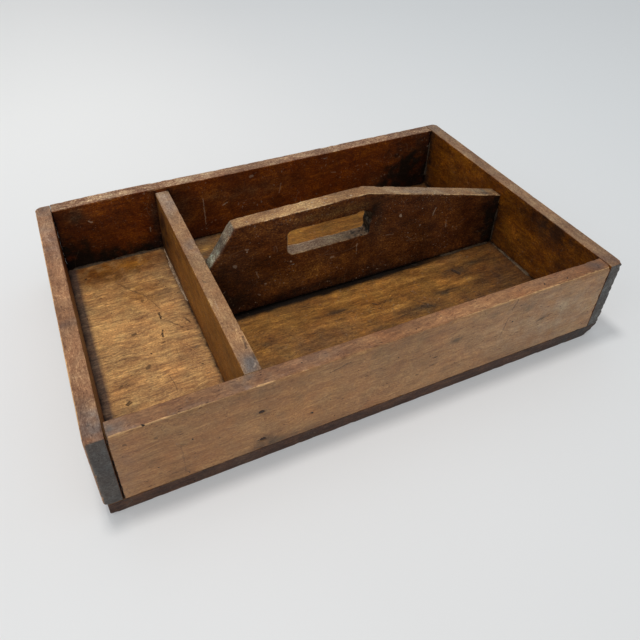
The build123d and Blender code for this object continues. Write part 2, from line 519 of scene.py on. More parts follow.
    height = n.times(rings, 0.25)
    for layer, amount in [(band, 0.8), (fibre, 0.8), (hair, 0.35), (grains, grit), (pits, -0.8 * grit),
                          (dashes, -0.7), (lines, -0.3), (dark, -2.0)]:
        height = n.add(height, n.times(layer, amount))
    height = n.add(height, n.times(n.noise(p, scale=0.16, detail=4.0), 1.2))
    n.shade("Normal", n.bump(height, 0.16 * relief, 0.9))
    return n.material


def iron(name):
    """Rusty cut-nail iron."""
    n = Nodes(name)
    p = n.position()
    rust = n.ramp(n.noise(p, scale=0.9, detail=4.0, roughness=0.7), 0.35, 0.7)
    color = n.mix(rust, (0.022, 0.015, 0.012, 1), (0.085, 0.036, 0.018, 1))
    n.shade("Base Color", color)
    n.shade("Metallic", 0.25)
    n.shade("Roughness", n.ramp(rust, 0.0, 1.0, 0.55, 0.85))
    n.shade("Normal", n.bump(n.noise(p, scale=1.6, detail=4.0, roughness=0.7), 0.25))
    return n.material


def glue(name, dark, pale):
    """Old glue with dirt and dust stuck to it."""
    n = Nodes(name)
    p = n.position()
    lumps = n.noise(p, scale=0.16, detail=4.0, roughness=0.65)
    fine = n.noise(p, scale=0.8, detail=4.0, roughness=0.7)
    color = n.mix(n.ramp(lumps, 0.35, 0.65), dark, pale)
    color = n.mix(n.ramp(fine, 0.50, 0.38, 0.0, 0.8), color, (0.030, 0.020, 0.014, 1))
    n.shade("Base Color", color)
    n.shade("Roughness", n.ramp(fine, 0.2, 0.8, 0.55, 0.9))
    n.shade("Specular IOR Level", 0.3)
    n.shade("Normal", n.bump(fine, 0.5))
    return n.material


def studio_floor(name):
    """Pale surface with painted light: dimmer and cooler towards the right, a painted pool of light at the
    back left, and a faint glow of its own that keeps shadows on it soft.
    """
    n = Nodes(name)
    p = n.position()
    x, y, _ = n.split(p)
    soft = n.noise(p, scale=0.004, detail=3.0)
    color = n.mix(n.ramp(soft, 0.2, 0.8), (0.564, 0.567, 0.568, 1), (0.579, 0.582, 0.585, 1))
    # Painted fall-off of the lamps: dimmer and cooler towards the right
    color = n.mix(n.ramp(x, -100.0, 700.0), color, (0.533, 0.555, 0.566, 1))
    # A painted pool of light at the back left
    back_left_light = n.times(n.ramp(y, 60.0, 600.0), n.ramp(x, 300.0, -200.0))
    color = n.mix(back_left_light, color, (0.650, 0.650, 0.642, 1))
    n.shade("Base Color", color)
    n.shade("Roughness", 0.6)
    n.shade("Specular IOR Level", 0.2)
    # A painted glow: the floor gives off light of its own, which lifts the shadows on it
    n.shade("Emission Color", (0.183, 0.186, 0.188, 1))
    n.shade("Emission Strength", 1.0)
    return n.material


# ---- boards

# Each face's axis, and the side of the board that it is on
FACES = {"left": (0, -1), "right": (0, 1), "front": (1, -1), "back": (1, 1), "bottom": (2, -1),
         "top": (2, 1)}

# Finish colours, and a near black for soot and painted shade, linear
OUTER = (0.35, 0.177, 0.073)
INNER_DARK = (0.11, 0.027, 0.0045)
END_GRAIN = (0.077, 0.068, 0.061)
UNDER = (0.26, 0.155, 0.085)
BASE_EDGE = (0.076, 0.036, 0.022)
SLATE = (0.10, 0.092, 0.085)
# Soot, and the near black of painted shade in corners and along the feet of boards
SOOT_AND_SHADE = (0.012, 0.007, 0.004)

# How far outside a board the noise is still worked out
OUTER_SHELL = 0.7


def box_distances(points, low, high):
    """Signed distances past each pair of a box's faces."""
    middle, half = (low + high) / 2, (high - low) / 2
    return [np.abs(points[:, i] - middle[i]) - half[i] for i in range(3)]


def arris_radius(points, base, seed, chip_level, chip_depth=1.2):
    """How far the arris has worn back: nearly even, with a few nicks."""
    uneven = layered_noise(points, 11.0, seed)
    nicks = smooth_step(chip_level, chip_level + 0.10, value_noise(points, (6.0, 5.0, 4.0), seed + 9))
    return base * (0.45 + 1.1 * uneven) + chip_depth * nicks


def waviness(points, seed):
    """Slow swell of a hand-planed, shrunken face, from about 0 to 1."""
    return 0.8 * value_noise(points, 80.0, seed) + 0.2 * value_noise(points, 17.0, seed + 2)


def nail_craters(points, face, place, heads):
    """Wood sunk up to 1 mm deep round nail heads on a face; heads are places on the other two axes."""
    axis = FACES[face][0]
    others = [i for i in range(3) if i != axis]
    depth = np.zeros(len(points))
    near = np.abs(points[:, axis] - place) < 4.0
    first, second = points[near][:, others].T
    ragged = 0.6 * value_noise(points[near], 1.7, 61)
    for head_first, head_second in heads:
        offset = np.hypot((first - head_first) / 1.25, (second - head_second) * 1.2)
        depth[near] = np.maximum(depth[near], smooth_step(3.1, 1.7, offset + ragged))
    return depth


class Board:
    """One worn board: its mesh, what age has done at each vertex, and painted shade in its corners."""

    def __init__(self, node, seed, vertices, quads, low, high):
        self.node = node
        self.seed = seed
        self.vertices = vertices
        self.quads = quads
        self.low = low
        self.high = high
        self.normals = vertex_normals(vertices, quads)
        self.tone = np.full_like(vertices, 0.3)
        self.bare, self.grime, self.dust = np.zeros((3, len(vertices)))

    def noise(self, size, offset, layers=3):
        return layered_noise(self.vertices, size, self.seed + offset, layers)

    def facing(self, face, sharpness=4):
        axis, side = FACES[face]
        return np.clip(self.normals[:, axis] * side, 0, 1) ** sharpness

    def gap(self, face):
        axis, side = FACES[face]
        return np.abs(self.vertices[:, axis] - (self.high if side > 0 else self.low)[axis])

    def color_faces(self, colors, variation=0.12):
        """One colour for each way that a face can look, blended over the arrises and slowly varied.

        The ends show grain and the underside is bare, unless colors says otherwise.
        """
        colors = {"bottom": UNDER, "left": END_GRAIN, "right": END_GRAIN, **colors}
        total = np.zeros_like(self.vertices)
        weight = np.full(len(self.vertices), 1e-6)
        for face, color in colors.items():
            share = self.facing(face)
            total += share[:, None] * np.array(color)
            weight += share
        slow, patch = self.noise(60.0, 51) - 0.5, self.noise(16.0, 61, 2) - 0.5
        vary = 1 + variation * (2.0 * slow + patch)
        self.tone = total / weight[:, None] * vary[:, None]

    def stain(self, centre, size, color, amount, face=None, rough=0.8):
        """Blend the tone towards a colour in a soft, uneven patch."""
        offset = (self.vertices - np.array(centre, dtype=float)) / np.array(size, dtype=float)
        share = amount * np.exp(-(offset ** 2).sum(axis=1))
        reached = share > 0.004
        uneven = layered_noise(self.vertices[reached], 7.0, self.seed + 71)
        share[reached] *= 1 + rough * 3.2 * (uneven - 0.5)
        if face:
            share = share * self.facing(face, 1)
        self.blend(np.clip(share, 0, 1), color)

    def stains(self, face, place, rows, depth=3, rough=0.8):
        """Patches on one face: a row has a centre and a size in its plane, a colour and an amount."""
        axis = FACES[face][0]
        for a, b, size_a, size_b, color, amount in rows:
            centre = in_space(axis, place, a, b)
            self.stain(centre, in_space(axis, depth, size_a, size_b), color, amount, face, rough)

    def blend(self, share, color):
        """Move the tone towards a colour by a share for each vertex."""
        share = share[:, None]
        self.tone = self.tone * (1 - share) + np.array(color) * share

    def wear(self, first, second, width, amount, unevenness=0.6):
        """Bare wood along the arris between two faces."""
        reach = np.maximum(self.gap(first), self.gap(second))
        uneven = 1 + unevenness * 3.0 * (self.noise(16.0, 21) - 0.5)
        self.bare = np.maximum(self.bare, amount * uneven * smooth_step(width, width * 0.25, reach))

    def soil_and_shade(self, blotch, dust, corner=0.75, wide=0.25):
        """Painted shade in the inside corners and unevenly round them, grime in slow blotches, and a little
        dust.
        """
        nearest, third = corner_distances(self.vertices)
        cloud = self.noise(34.0, 31)
        # Painted shade: a tight dark line in each inside corner and a wider, uneven fall-off round it
        self.grime += corner * np.exp(-nearest / 2.2) + wide * np.exp(-nearest / 13.0) * (0.4 + cloud)
        # More painted shade where three faces meet
        self.grime += 0.45 * corner * np.exp(-third / 14.0)
        self.grime += blotch * smooth_step(0.5, 0.75, cloud)
        self.dust += dust * smooth_step(0.45, 0.75, self.noise(30.0, 41))

    def finish(self, name, material, slot):
        """Write the mesh, hide the plain CAD board behind it and fix it to the tray."""
        age_and_shade = np.stack([self.bare, self.grime, self.dust], axis=1)
        attributes = {"tone": np.clip(self.tone, 0, 1), "age_and_shade": np.clip(age_and_shade, 0, 1)}
        piece = mesh_object(name, self.vertices, self.quads, attributes, material)
        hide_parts(self.node)
        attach(piece, "root")


def grow_board(node, seed, low=None, coarse=1.6, radius=0.55, chip_level=0.72, swell=0.35,
               spots=((), (), ()), cut=None, shell=1.8):
    """A worn rectangular board, from its node's box or from another low corner.

    The radius may be a function of the points, and cut says how deep wood is lost at each point. The
    grid is finest near the faces and the spots, and coarse between.
    """
    node_low, high = node_box(node)
    low = node_low if low is None else low
    xs, ys, zs = [ticks(low[i], high[i], coarse, spots[i]) for i in range(3)]
    grid = grid_points(xs, ys, zs)
    distances = box_distances(grid, low, high)
    # Only the points by the surface need the noise
    depth = np.maximum.reduce(distances)
    by_surface = (depth > -shell) & (depth < OUTER_SHELL)
    close = grid[by_surface]
    base = radius(close) if callable(radius) else radius
    r = np.full(len(grid), 0.5)
    r[by_surface] = arris_radius(close, base, seed, chip_level)
    field = rounded(distances, np.clip(r, 0.2, 9.0))
    field[by_surface] += swell * waviness(close, seed)
    if cut:
        field[by_surface] += cut(close)
    vertices, quads = surface_net(field.reshape(len(xs), len(ys), len(zs)), xs, ys, zs)
    return Board(node, seed, vertices, quads, low, high)


wall_nail_heights = [26.0, 49.0, 72.0]
front_nail_heights = [23.5, 56.0]
back_nail_heights = [26.0, 58.0]
handle_nail_heights = [32.0, 56.0]
wall_nail_y = (front_high[1] + front_low[1]) / 2


def make_front_board():
    # A narrow gap shows where it meets the left end board
    left_gap, crack_x = 0.9, -121.0
    low = front_low + np.array([left_gap, 0, 0])
    heads = [(divider_x, z) for z in front_nail_heights]

    def lost(points):
        # A crack in the top arris beside the divider, and a few bruises along it
        x, y, z = points.T
        outer = np.hypot(y - low[1], z - rim_z)
        crack = 0.9 * np.exp(-((x - crack_x) / 3.0) ** 2) * smooth_step(5.0, 1.0, outer)
        bruises = smooth_step(0.42, 0.85, layered_noise(points, (14.0, 30.0, 30.0), 83, 4))
        craters = nail_craters(points, "front", low[1], heads)
        return craters + crack + 2.3 * bruises * smooth_step(4.2, 0.4, outer)

    board = grow_board("front_board", 1, low=low, spots=([divider_x], [], front_nail_heights), cut=lost)
    board.color_faces({"front": OUTER, "back": INNER_DARK, "top": (0.235, 0.105, 0.043)}, variation=0.2)
    board.soil_and_shade(blotch=0.08, dust=0.02)
    board.wear("front", "top", 2.2, 0.78, unevenness=1.1)
    # The arris is less worn in the middle, and a pale line runs along it
    x = board.vertices[:, 0]
    board.bare *= 1 - 0.65 * np.exp(-((x - 10.0) / 75.0) ** 2)
    on_arris = smooth_step(0.45, 0.85, 2 * board.facing("front", 1) * board.facing("top", 1))
    strong = np.maximum(smooth_step(20.0, 80.0, x), smooth_step(-110.0, -150.0, x))
    line = on_arris * (0.20 + 0.48 * strong) * (0.7 + 0.6 * board.noise(9.0, 42, 2))
    board.bare = np.maximum(board.bare, line)
    board.wear("back", "top", 1.2, 0.42, unevenness=0.9)
    board.wear("front", "bottom", 1.2, 0.25)
    face_y = low[1]
    board.stains("top", rim_z, [
        (-214, -140, 16, 12, SLATE, 0.55), (-112, -138, 20, 9, (0.13, 0.085, 0.06), 0.6),
        (-60, -137, 26, 6, (0.20, 0.12, 0.08), 0.4), (60, -142, 40, 5, (0.34, 0.17, 0.075), 0.6),
        (20, -135, 30, 4, (0.16, 0.075, 0.035), 0.5), (150, -136, 30, 4, (0.17, 0.09, 0.05), 0.5),
        (205, -139, 9, 8, (0.09, 0.06, 0.05), 0.6)])
    board.stains("front", face_y, [
        (120, 76, 60, 8, (0.20, 0.115, 0.06), 0.35), (-180, 40, 60, 40, (0.34, 0.158, 0.060), 0.7),
        (-75, 50, 40, 26, (0.43, 0.205, 0.072), 0.6), (25, 48, 40, 26, (0.31, 0.158, 0.063), 0.5),
        (-116, 79, 18, 7, (0.18, 0.10, 0.05), 0.45), (-30, 77, 60, 5, (0.22, 0.115, 0.05), 0.5),
        (-100, 16, 30, 5, (0.14, 0.08, 0.045), 0.6), (175, 60, 30, 9, (0.25, 0.15, 0.085), 0.5),
        (-212, 50, 14, 40, (0.30, 0.165, 0.09), 0.45), (165, 45, 70, 40, (0.42, 0.27, 0.155), 0.5)])
    small_stains = [(-109.5, 56, 4.5), (-109.5, 23.5, 4.0), (-100, 14, 12), (152, 49, 4.0), (60, 60, 4.0),
                    (96, 74, 3.5), (20, 66, 3.5), (130, 68, 3.0)]
    board.stains("front", face_y, [(x, z, size * 1.6, size, (0.14, 0.085, 0.045), 0.6)
                                   for x, z, size in small_stains])
    marks = marks_on(1, face_y, [
        (-173, 53.5, -166, 50, 0.8, 0.45), (-170, 50, -169.4, 20, 0.9, 0.28),
        (40, 47.7, 42.5, 47.9, 1.3, 0.8), (37, 39.2, 40, 39.5, 1.2, 0.75),
        (111.8, 73.8, 115.5, 83, 1.0, 0.6), (146.5, 48.1, 160, 50.7, 1.5, 0.5),
        (25, 34.1, 26.5, 34.2, 1.3, 0.6), (-55, 74, -38, 77.5, 0.8, 0.6), (-132, 41, -118, 44, 0.8, 0.3),
        (-70, 45, -50, 49, 0.8, 0.3), (-206, 72, -205, 72.1, 1.6, 0.6), (-186, 68, -185, 68, 1.5, 0.5),
        (60, 30, 74, 31.5, 0.9, 0.45), (106.7, 44.2, 110.5, 65.1, 0.8, 0.55)])
    material = wood("front_wood_aged", 0, 1.0, streak=0.62, patch=0.30, ring=0.08, flecks=1.35, specks=0.08,
                    grit=0.45, top_extra=0.35, sway=1.2, pith=(-60.0, 150.0, 0.05), gloss=0.46, shine=0.25,
                    bare_color=(0.48, 0.28, 0.125, 1), dark_marks=marks)
    board.finish("front_board_worn", material, "front_wood")


def make_back_board():
    heads = [(divider_x, z) for z in back_nail_heights]
    board = grow_board("back_board", 2, spots=([divider_x], [], back_nail_heights),
                       cut=lambda points: nail_craters(points, "back", back_high[1], heads))
    # The rim is a little crowned near its left end
    crown_height, crown_x, crown_reach = 1.6, -150.0, 70.0
    x, z = board.vertices[:, 0], board.vertices[:, 2]
    crown = crown_height * np.exp(-((x - crown_x) / crown_reach) ** 2)
    board.vertices[:, 2] += crown * smooth_step(floor_z, rim_z, z)
    board.color_faces({"front": (0.165, 0.034, 0.0018), "back": OUTER, "top": (0.27, 0.146, 0.079)})
    board.soil_and_shade(blotch=0.18, dust=0.03)
    board.wear("front", "top", 1.2, 0.40)
    board.wear("back", "top", 1.4, 0.50)
    face_y = back_low[1]
    # Painted shade makes the lower corners near black and darkens the strips beside the divider; the other
    # patches are stains
    board.stains("front", face_y, [
        (-205, 24, 30, 28, SOOT_AND_SHADE, 1.0), (-170, 17, 62, 12, SOOT_AND_SHADE, 1.0),
        (-92, 55, 16, 26, (0.035, 0.022, 0.014), 0.6), (-120, 50, 4, 34, (0.040, 0.028, 0.020), 0.7),
        (191, 42, 36, 38, SOOT_AND_SHADE, 1.0), (172, 26, 40, 17, SOOT_AND_SHADE, 0.9),
        (-40, 50, 60, 20, (0.19, 0.046, 0.005), 0.6), (-196, 74, 12, 12, (0.075, 0.045, 0.025), 0.6),
        (-20, 60, 60, 12, (0.075, 0.035, 0.016), 0.4)])
    pale = marks_on(1, face_y, [
        (-67.5, 62.4, -66.8, 29.3, 0.9, 0.64), (-46, 49, -41, 51, 1.2, 0.80),
        (-13, 77, -11, 77.2, 2.4, 0.48), (-185, 66, -182, 64.4, 1.3, 0.80),
        (-126.6, 42.4, -126.6, 37.7, 1.2, 0.64), (20, 48, 22, 60, 0.9, 0.40),
        (84, 60, 90, 58, 0.9, 0.48)])
    material = wood("back_wood_aged", 0, 2.0, streak=0.95, patch=1.0, ring=0.12, flecks=0.6, specks=0.35,
                    grit=1.5, pith=(60.0, 140.0, -0.04), sway=1.5, calm=(1, 1, 0.40),
                    spread=(0.9, 1.2, 1.3), gloss=0.48, shine=0.22, pale_marks=pale)
    board.finish("back_board_worn", material, "back_wood")


def make_end_board(side):
    left = side < 0
    name = "left_end" if left else "right_end"
    low, high = (left_low, left_high) if left else (right_low, right_high)
    seed = 3 if left else 4
    outer, inner = ("left", "right") if left else ("right", "left")
    face_x = low[0] if left else high[0]
    heads = [(y, z) for y in (wall_nail_y, -wall_nail_y) for z in wall_nail_heights]
    heights = list(wall_nail_heights)
    middle = []
    if not left:
        heads += [(handle_y, z) for z in handle_nail_heights]
        heights += handle_nail_heights
        middle = [handle_y]

    def corner_wear(points):
        # The outer upright corners are well rounded
        away = np.hypot(points[:, 0] - face_x, np.abs(points[:, 1]) - high[1])
        return 0.6 + 2.2 * smooth_step(5.0, 2.0, away)

    def lost(points):
        depth = nail_craters(points, outer, face_x, heads)
        if not left:
            # The front upright arris is broken and splintered
            away = np.hypot(points[:, 0] - face_x, points[:, 1] - low[1])
            splinters = layered_noise(points, (8.0, 8.0, 6.5), 91, 4)
            depth += 1.6 * smooth_step(0.45, 0.80, splinters) * smooth_step(4.5, 0.5, away)
        return depth

    spots = ([], [wall_nail_y, -wall_nail_y] + middle, heights)
    board = grow_board(name + "_board", seed, radius=corner_wear, spots=spots, cut=lost, chip_level=0.70,
                       shell=3.0)
    inner_color = (0.13, 0.039, 0.0077) if left else (0.122, 0.034, 0.0010)
    top_color = (0.26, 0.128, 0.062) if left else (0.22, 0.123, 0.064)
    board.color_faces({inner: inner_color, outer: OUTER, "top": top_color, "front": END_GRAIN,
                       "back": END_GRAIN}, variation=0.2)
    board.soil_and_shade(blotch=0.12, dust=0.03)
    board.wear(outer, "top", 1.6, 0.62)
    board.wear(inner, "top", 1.1, 0.40)
    board.wear("front", "top", 1.0, 0.45)
    if left:
        board.stains("top", rim_z, [
            (-223, -134, 20, 20, (0.14, 0.095, 0.075), 0.75), (-222, -30, 12, 4.5, (0.13, 0.075, 0.05), 0.7),
            (-222, 90, 12, 34, (0.215, 0.125, 0.085), 0.55), (-223, 138, 12, 9, (0.17, 0.115, 0.085), 0.7)],
            depth=4)
        look = {"streak": 0.75, "patch": 0.6, "grit": 0.8, "top_extra": 0.1, "calm": (0, side, 0.55)}
    else:
        board.stains("top", rim_z, [
            (223, -136, 12, 8, (0.14, 0.085, 0.06), 0.6), (223, 138, 12, 10, (0.13, 0.09, 0.07), 0.6)],
            depth=4)
        # The dark strips beside the handle board and in the back corner are painted shade; the other patches
        # are stains
        board.stains("left", right_low[0], [
            (-72, 77, 46, 14, (0.035, 0.011, 0.003), 1.0), (-30, 40, 30, 16, (0.22, 0.072, 0.007), 0.6),
            (60, 60, 40, 22, (0.18, 0.058, 0.006), 0.5), (0, 30, 12, 26, (0.05, 0.014, 0.003), 0.6),
            (129, 45, 5, 50, SOOT_AND_SHADE, 0.8)])
        look = {"streak": 0.9, "patch": 1.1, "grit": 1.3, "top_extra": -0.35, "calm": (0, side, 0.42)}
    material = wood(name + "_wood_aged", 1, float(seed), ring=0.08, flecks=0.6, sway=1.3, specks=0.12,
                    pith=(side * 60.0, 120.0, 0.04), spread=(0.9, 1.1, 1.15), gloss=0.45, **look)
    board.finish(name + "_board_worn", material, name + "_wood")


def make_base_board():
    corner = (base_high[0], base_low[2])

    def corner_wear(points):
        # Well rounded under the front right corner
        away = np.hypot(points[:, 0] - corner[0], points[:, 2] - corner[1])
        return 0.8 + 7.0 * smooth_step(14.0, 6.0, away) * smooth_step(-60.0, -125.0, points[:, 1])

    rows = [(i - 2) * 90.0 for i in range(5)]
    heads = [(x, y) for x in rows for y in (wall_nail_y, -wall_nail_y)]
    heads += [(x, (i - 1.5) * 70.0) for x in (-223.0, 223.0) for i in range(4)]
    heads += [(divider_x, (i - 1.5) * 64.0) for i in range(4)]
    board = grow_board("base_board", 5, coarse=2.0, radius=corner_wear, swell=0.22, shell=3.0,
                       cut=lambda points: nail_craters(points, "bottom", base_low[2], heads))
    edges = dict.fromkeys(("left", "right", "front", "back"), BASE_EDGE)
    board.color_faces({"top": (0.222, 0.093, 0.0185), **edges})
    x, y = board.vertices[:, 0], board.vertices[:, 1]
    up = board.facing("top")
    # The left compartment has kept a paler, more golden floor
    board.blend(up * smooth_step(divider_high[0], divider_low[0], x), (0.54, 0.285, 0.104))
    board.stains("top", floor_z, [(-190, 118, 60, 25, (0.17, 0.052, 0.006), 0.95)], rough=0.5)
    board.stains("top", floor_z, [
        (-140, 118, 40, 16, (0.26, 0.090, 0.009), 0.9), (-175, 104, 14, 9, (0.13, 0.058, 0.012), 0.6),
        (-150, 68, 28, 22, (0.34, 0.145, 0.034), 0.7), (-130, -30, 16, 30, (0.38, 0.19, 0.08), 0.5),
        (-165, -75, 40, 30, (0.45, 0.22, 0.08), 0.5)])
    # A dark band along the foot of the left end board: partly grime, partly painted shadow of that board
    board.blend(up * 0.9 * smooth_step(-207.5, -209.5, x), (0.10, 0.058, 0.042))
    # The right compartments darken towards the right end
    board.blend(up * 0.8 * smooth_step(110.0, 205.0, x), (0.135, 0.052, 0.0115))
    board.stains("top", floor_z, [
        (-85, 70, 40, 70, (0.165, 0.103, 0.062), 0.92), (-78, 112, 20, 8, (0.40, 0.20, 0.055), 0.7),
        (-88, 84, 10, 8, (0.085, 0.055, 0.032), 0.8), (150, -30, 18, 10, (0.09, 0.045, 0.018), 0.7),
        (85, -62, 24, 9, (0.12, 0.06, 0.022), 0.65), (190, -52, 28, 22, (0.075, 0.032, 0.012), 0.8),
        (150, -74, 48, 15, (0.10, 0.045, 0.016), 0.7), (150, -10, 30, 7, (0.25, 0.115, 0.033), 0.6)])
    dark_streaks = [(89, -58, 9, 3.5), (98, -63, 6, 3), (146, -28, 8, 3), (154, -32, 5, 2.5),
                    (120, -52, 16, 3), (40, -70, 14, 3), (-35, -66, 20, 3), (64, -40, 10, 2.5),
                    (10, -34, 16, 2.5), (178, -24, 14, 3), (-70, -46, 12, 3)]
    golden_streaks = [(-40, -28, 26, 2.5), (30, -23, 30, 2.5), (92, -22, 24, 2.5), (120, -36, 20, 3),
                      (60, -52, 22, 3), (-60, -64, 20, 3), (0, -48, 22, 2.5), (150, -44, 16, 2.5)]
    for streaks, color, amount in [(dark_streaks, (0.065, 0.034, 0.014), 0.75),
                                   (golden_streaks, (0.42, 0.19, 0.042), 0.6)]:
        board.stains("top", floor_z, [(*streak, color, amount) for streak in streaks], rough=1.0)
    for place, size in [((205, -148, 6), (26, 6, 12)), ((229, -135, 6), (6, 26, 12))]:
        board.stain(place, size, (0.055, 0.047, 0.042), 0.85)
    board.stains("top", floor_z, [
        (-60, -20, 40, 14, (0.33, 0.145, 0.028), 0.7), (60, -14, 60, 9, (0.36, 0.16, 0.034), 0.6),
        (-80, -80, 22, 16, (0.15, 0.075, 0.028), 0.6), (-20, -60, 40, 20, (0.21, 0.10, 0.038), 0.5)])
    # Painted shade on the floor along the foot of the handle board
    reach = handle_low[1] - y
    foot = smooth_step(190.0, 110.0, x) * smooth_step(divider_high[0], divider_high[0] + 2, x)
    foot_shade = smooth_step(4.5, 2.5, reach + 3.0 * board.noise(12.0, 92) - 1.6 - 3.0 * foot)
    board.blend(up * 0.97 * foot * foot_shade * (reach > -20), SOOT_AND_SHADE)
    board.soil_and_shade(corner=0.8, wide=0.22, blotch=0.12, dust=0.04)
    for face, width, amount in [("front", 1.2, 0.3), ("left", 1.4, 0.4), ("right", 1.6, 0.4),
                                ("back", 1.2, 0.4)]:
        board.wear(face, "bottom", width, amount)
    marks = marks_on(2, floor_z, [
        (-146, 33, -146.3, 24.5, 1.5, 0.95), (-149, 8.5, -150.4, 0.8, 1.4, 0.95),
        (-149, 8, -118, -2, 0.7, 0.4), (-156, 57, -157, 56, 2.0, 0.75), (-175, 14, -173, 14, 2.2, 0.75),
        (-153, -7, -151, -6, 1.6, 0.7), (84, -46, 101, -66, 0.8, 0.55),
        (-172, -31, -170, -29, 2.4, 0.65), (-196, -63, -194, -62, 2.6, 0.85),
        (-198, -43, -197, -42, 1.9, 0.7), (50, -47, 70, -32, 0.8, 0.55),
        (-173.5, 91, -162, 74, 1.1, 0.5), (-162, 74, -153, 63, 1.1, 0.5),
        (-153, 63, -144, 40, 1.0, 0.45), (-141, 19, -130.6, 6, 1.0, 0.55),
        (-125, 16, -122.6, 9, 1.1, 0.6), (149, -26, 152, -33, 2.8, 0.8), (140, -24, 146, -25, 1.2, 0.6),
        (90, -60, 93, -62, 3.2, 0.7), (60, -65, 74, -63, 1.2, 0.5), (48, -38, 50, -40, 2.0, 0.6),
        (20, -39, 27, -40, 1.0, 0.5), (-30, -50, -12, -53, 0.8, 0.4), (110, -48, 128, -50, 0.9, 0.4)])
    material = wood("floor_wood_aged", 0, 5.0, streak=0.95, patch=0.5, ring=0.20, ring_gap=3.2, flecks=1.1,
                    sway=0.8, shorten=1.2, tint=0.6, cuts=0.7, top_extra=0.1, specks=0.15, grit=0.65,
                    pith=(20.0, -70.0, 0.03), spread=(0.95, 1.05, 0.95), relief=1.5, gloss=0.5,
                    dark_marks=marks)
    board.finish("base_board_worn", material, "floor_wood")


def make_divider():
    board = grow_board("cross_divider", 6, chip_level=0.68)
    # Its top falls towards the back
    fall = (rim_z - divider_back_z) * smooth_step(board.low[1], board.high[1], board.vertices[:, 1])
    board.vertices[:, 2] -= fall * (board.vertices[:, 2] - board.low[2]) / (board.high[2] - board.low[2])
    board.color_faces({"left": (0.25, 0.095, 0.0125), "right": INNER_DARK, "top": (0.305, 0.163, 0.074),
                       "front": UNDER, "back": UNDER}, variation=0.2)
    board.soil_and_shade(blotch=0.1, dust=0.04)
    board.wear("left", "top", 1.2, 0.45)
    board.wear("right", "top", 1.6, 0.55)
    for place, size, color, amount in [
        ((divider_x, -124, 85), (9, 12, 5), (0.13, 0.10, 0.085), 0.85),
        ((divider_x, 116, 83), (12, 30, 5), (0.29, 0.20, 0.14), 0.8),
        ((divider_x + 2, 30, 84), (8, 18, 5), (0.22, 0.15, 0.11), 0.5),
    ]:
        board.stain(place, size, color, amount, "top")
    # Painted shade towards the back corner, and a stain higher up
    board.stains("left", divider_low[0], [
        (115, 45, 30, 50, (0.07, 0.028, 0.009), 0.85), (60, 66, 30, 14, (0.16, 0.06, 0.014), 0.5)])
    marks = [((-104.5, -96, 85), (-106, -108, 85), 1.2, 0.7),
             ((-103.5, -116, 85), (-104, -121, 85), 1.6, 0.6),
             ((-113, -20, 84), (-111, -24, 84), 1.1, 0.5)]
    pale = [((-108, -128, 85.5), (-105.5, -125, 85.5), 1.2, 0.35),
            ((-112, -60, 85), (-111, -50, 85), 1.0, 0.3)]
    material = wood("divider_wood_aged", 1, 6.0, streak=0.8, patch=0.8, ring=0.10, flecks=0.7, specks=0.25,
                    grit=1.15, top_extra=-0.25, sway=1.4, pith=(-60.0, 110.0, 0.05), spread=(0.9, 1.1, 1.15),
                    gloss=0.48, shine=0.22, dark_marks=marks, pale_marks=pale)
    board.finish("cross_divider_worn", material, "divider_wood")


# ---- the handle board

def polygon_distance(points, corners):
    """Signed distance in a plane to a closed outline, negative inside."""
    best = np.full(len(points), 1e9)
    inside = np.zeros(len(points), dtype=bool)
    x, z = points.T
    for (ax, az), (bx, bz) in zip(corners, corners[1:] + corners[:1]):
        ex, ez = bx - ax, bz - az
        wx, wz = x - ax, z - az
        t = np.clip((wx * ex + wz * ez) / (ex * ex + ez * ez), 0, 1)
        best = np.minimum(best, np.hypot(wx - t * ex, wz - t * ez))
        slope_x = ax + wz * ex / (ez if ez else 1e-9)
        inside ^= ((az > z) != (bz > z)) & (x < slope_x)
    return np.where(inside, -best, best)


def handle_outline():
    """The carrying board's outline in X and Z, from its box and its two shoulders."""
    left, right = divider_high[0], handle_high[0]
    bottom, top = handle_low[2], handle_high[2]
    # The gap below it closes towards the right
    gap_end = 65.0
    left_shoulder, right_shoulder, left_drop = -75.5, 55.5, 2.5
    return [(left, bottom + 1.6), (gap_end, bottom - 0.4), (right, bottom - 0.4), (right, handle_end_z),
            (right_shoulder, top), (left_shoulder, top - left_drop), (left, handle_end_z + 0.5)]


def hole_distance(x, z):
    """Signed distance to the hand hole: a rounded slot, squarer and broken at its right end."""
    middle_x, middle_z, half_x, half_z = 17.0, 82.0, 42.5, 13.0
    corner = np.where(x > middle_x, 3.0, 6.0)
    qx = np.abs(x - middle_x) - half_x + corner
    qz = np.abs(z - middle_z) - half_z + corner
    slot = np.hypot(np.maximum(qx, 0), np.maximum(qz, 0)) + np.minimum(np.maximum(qx, qz), 0) - corner
    notch = np.hypot((x - 49.0) / 1.5, z - 94.0) - 3.6
    return np.minimum(slot, notch)


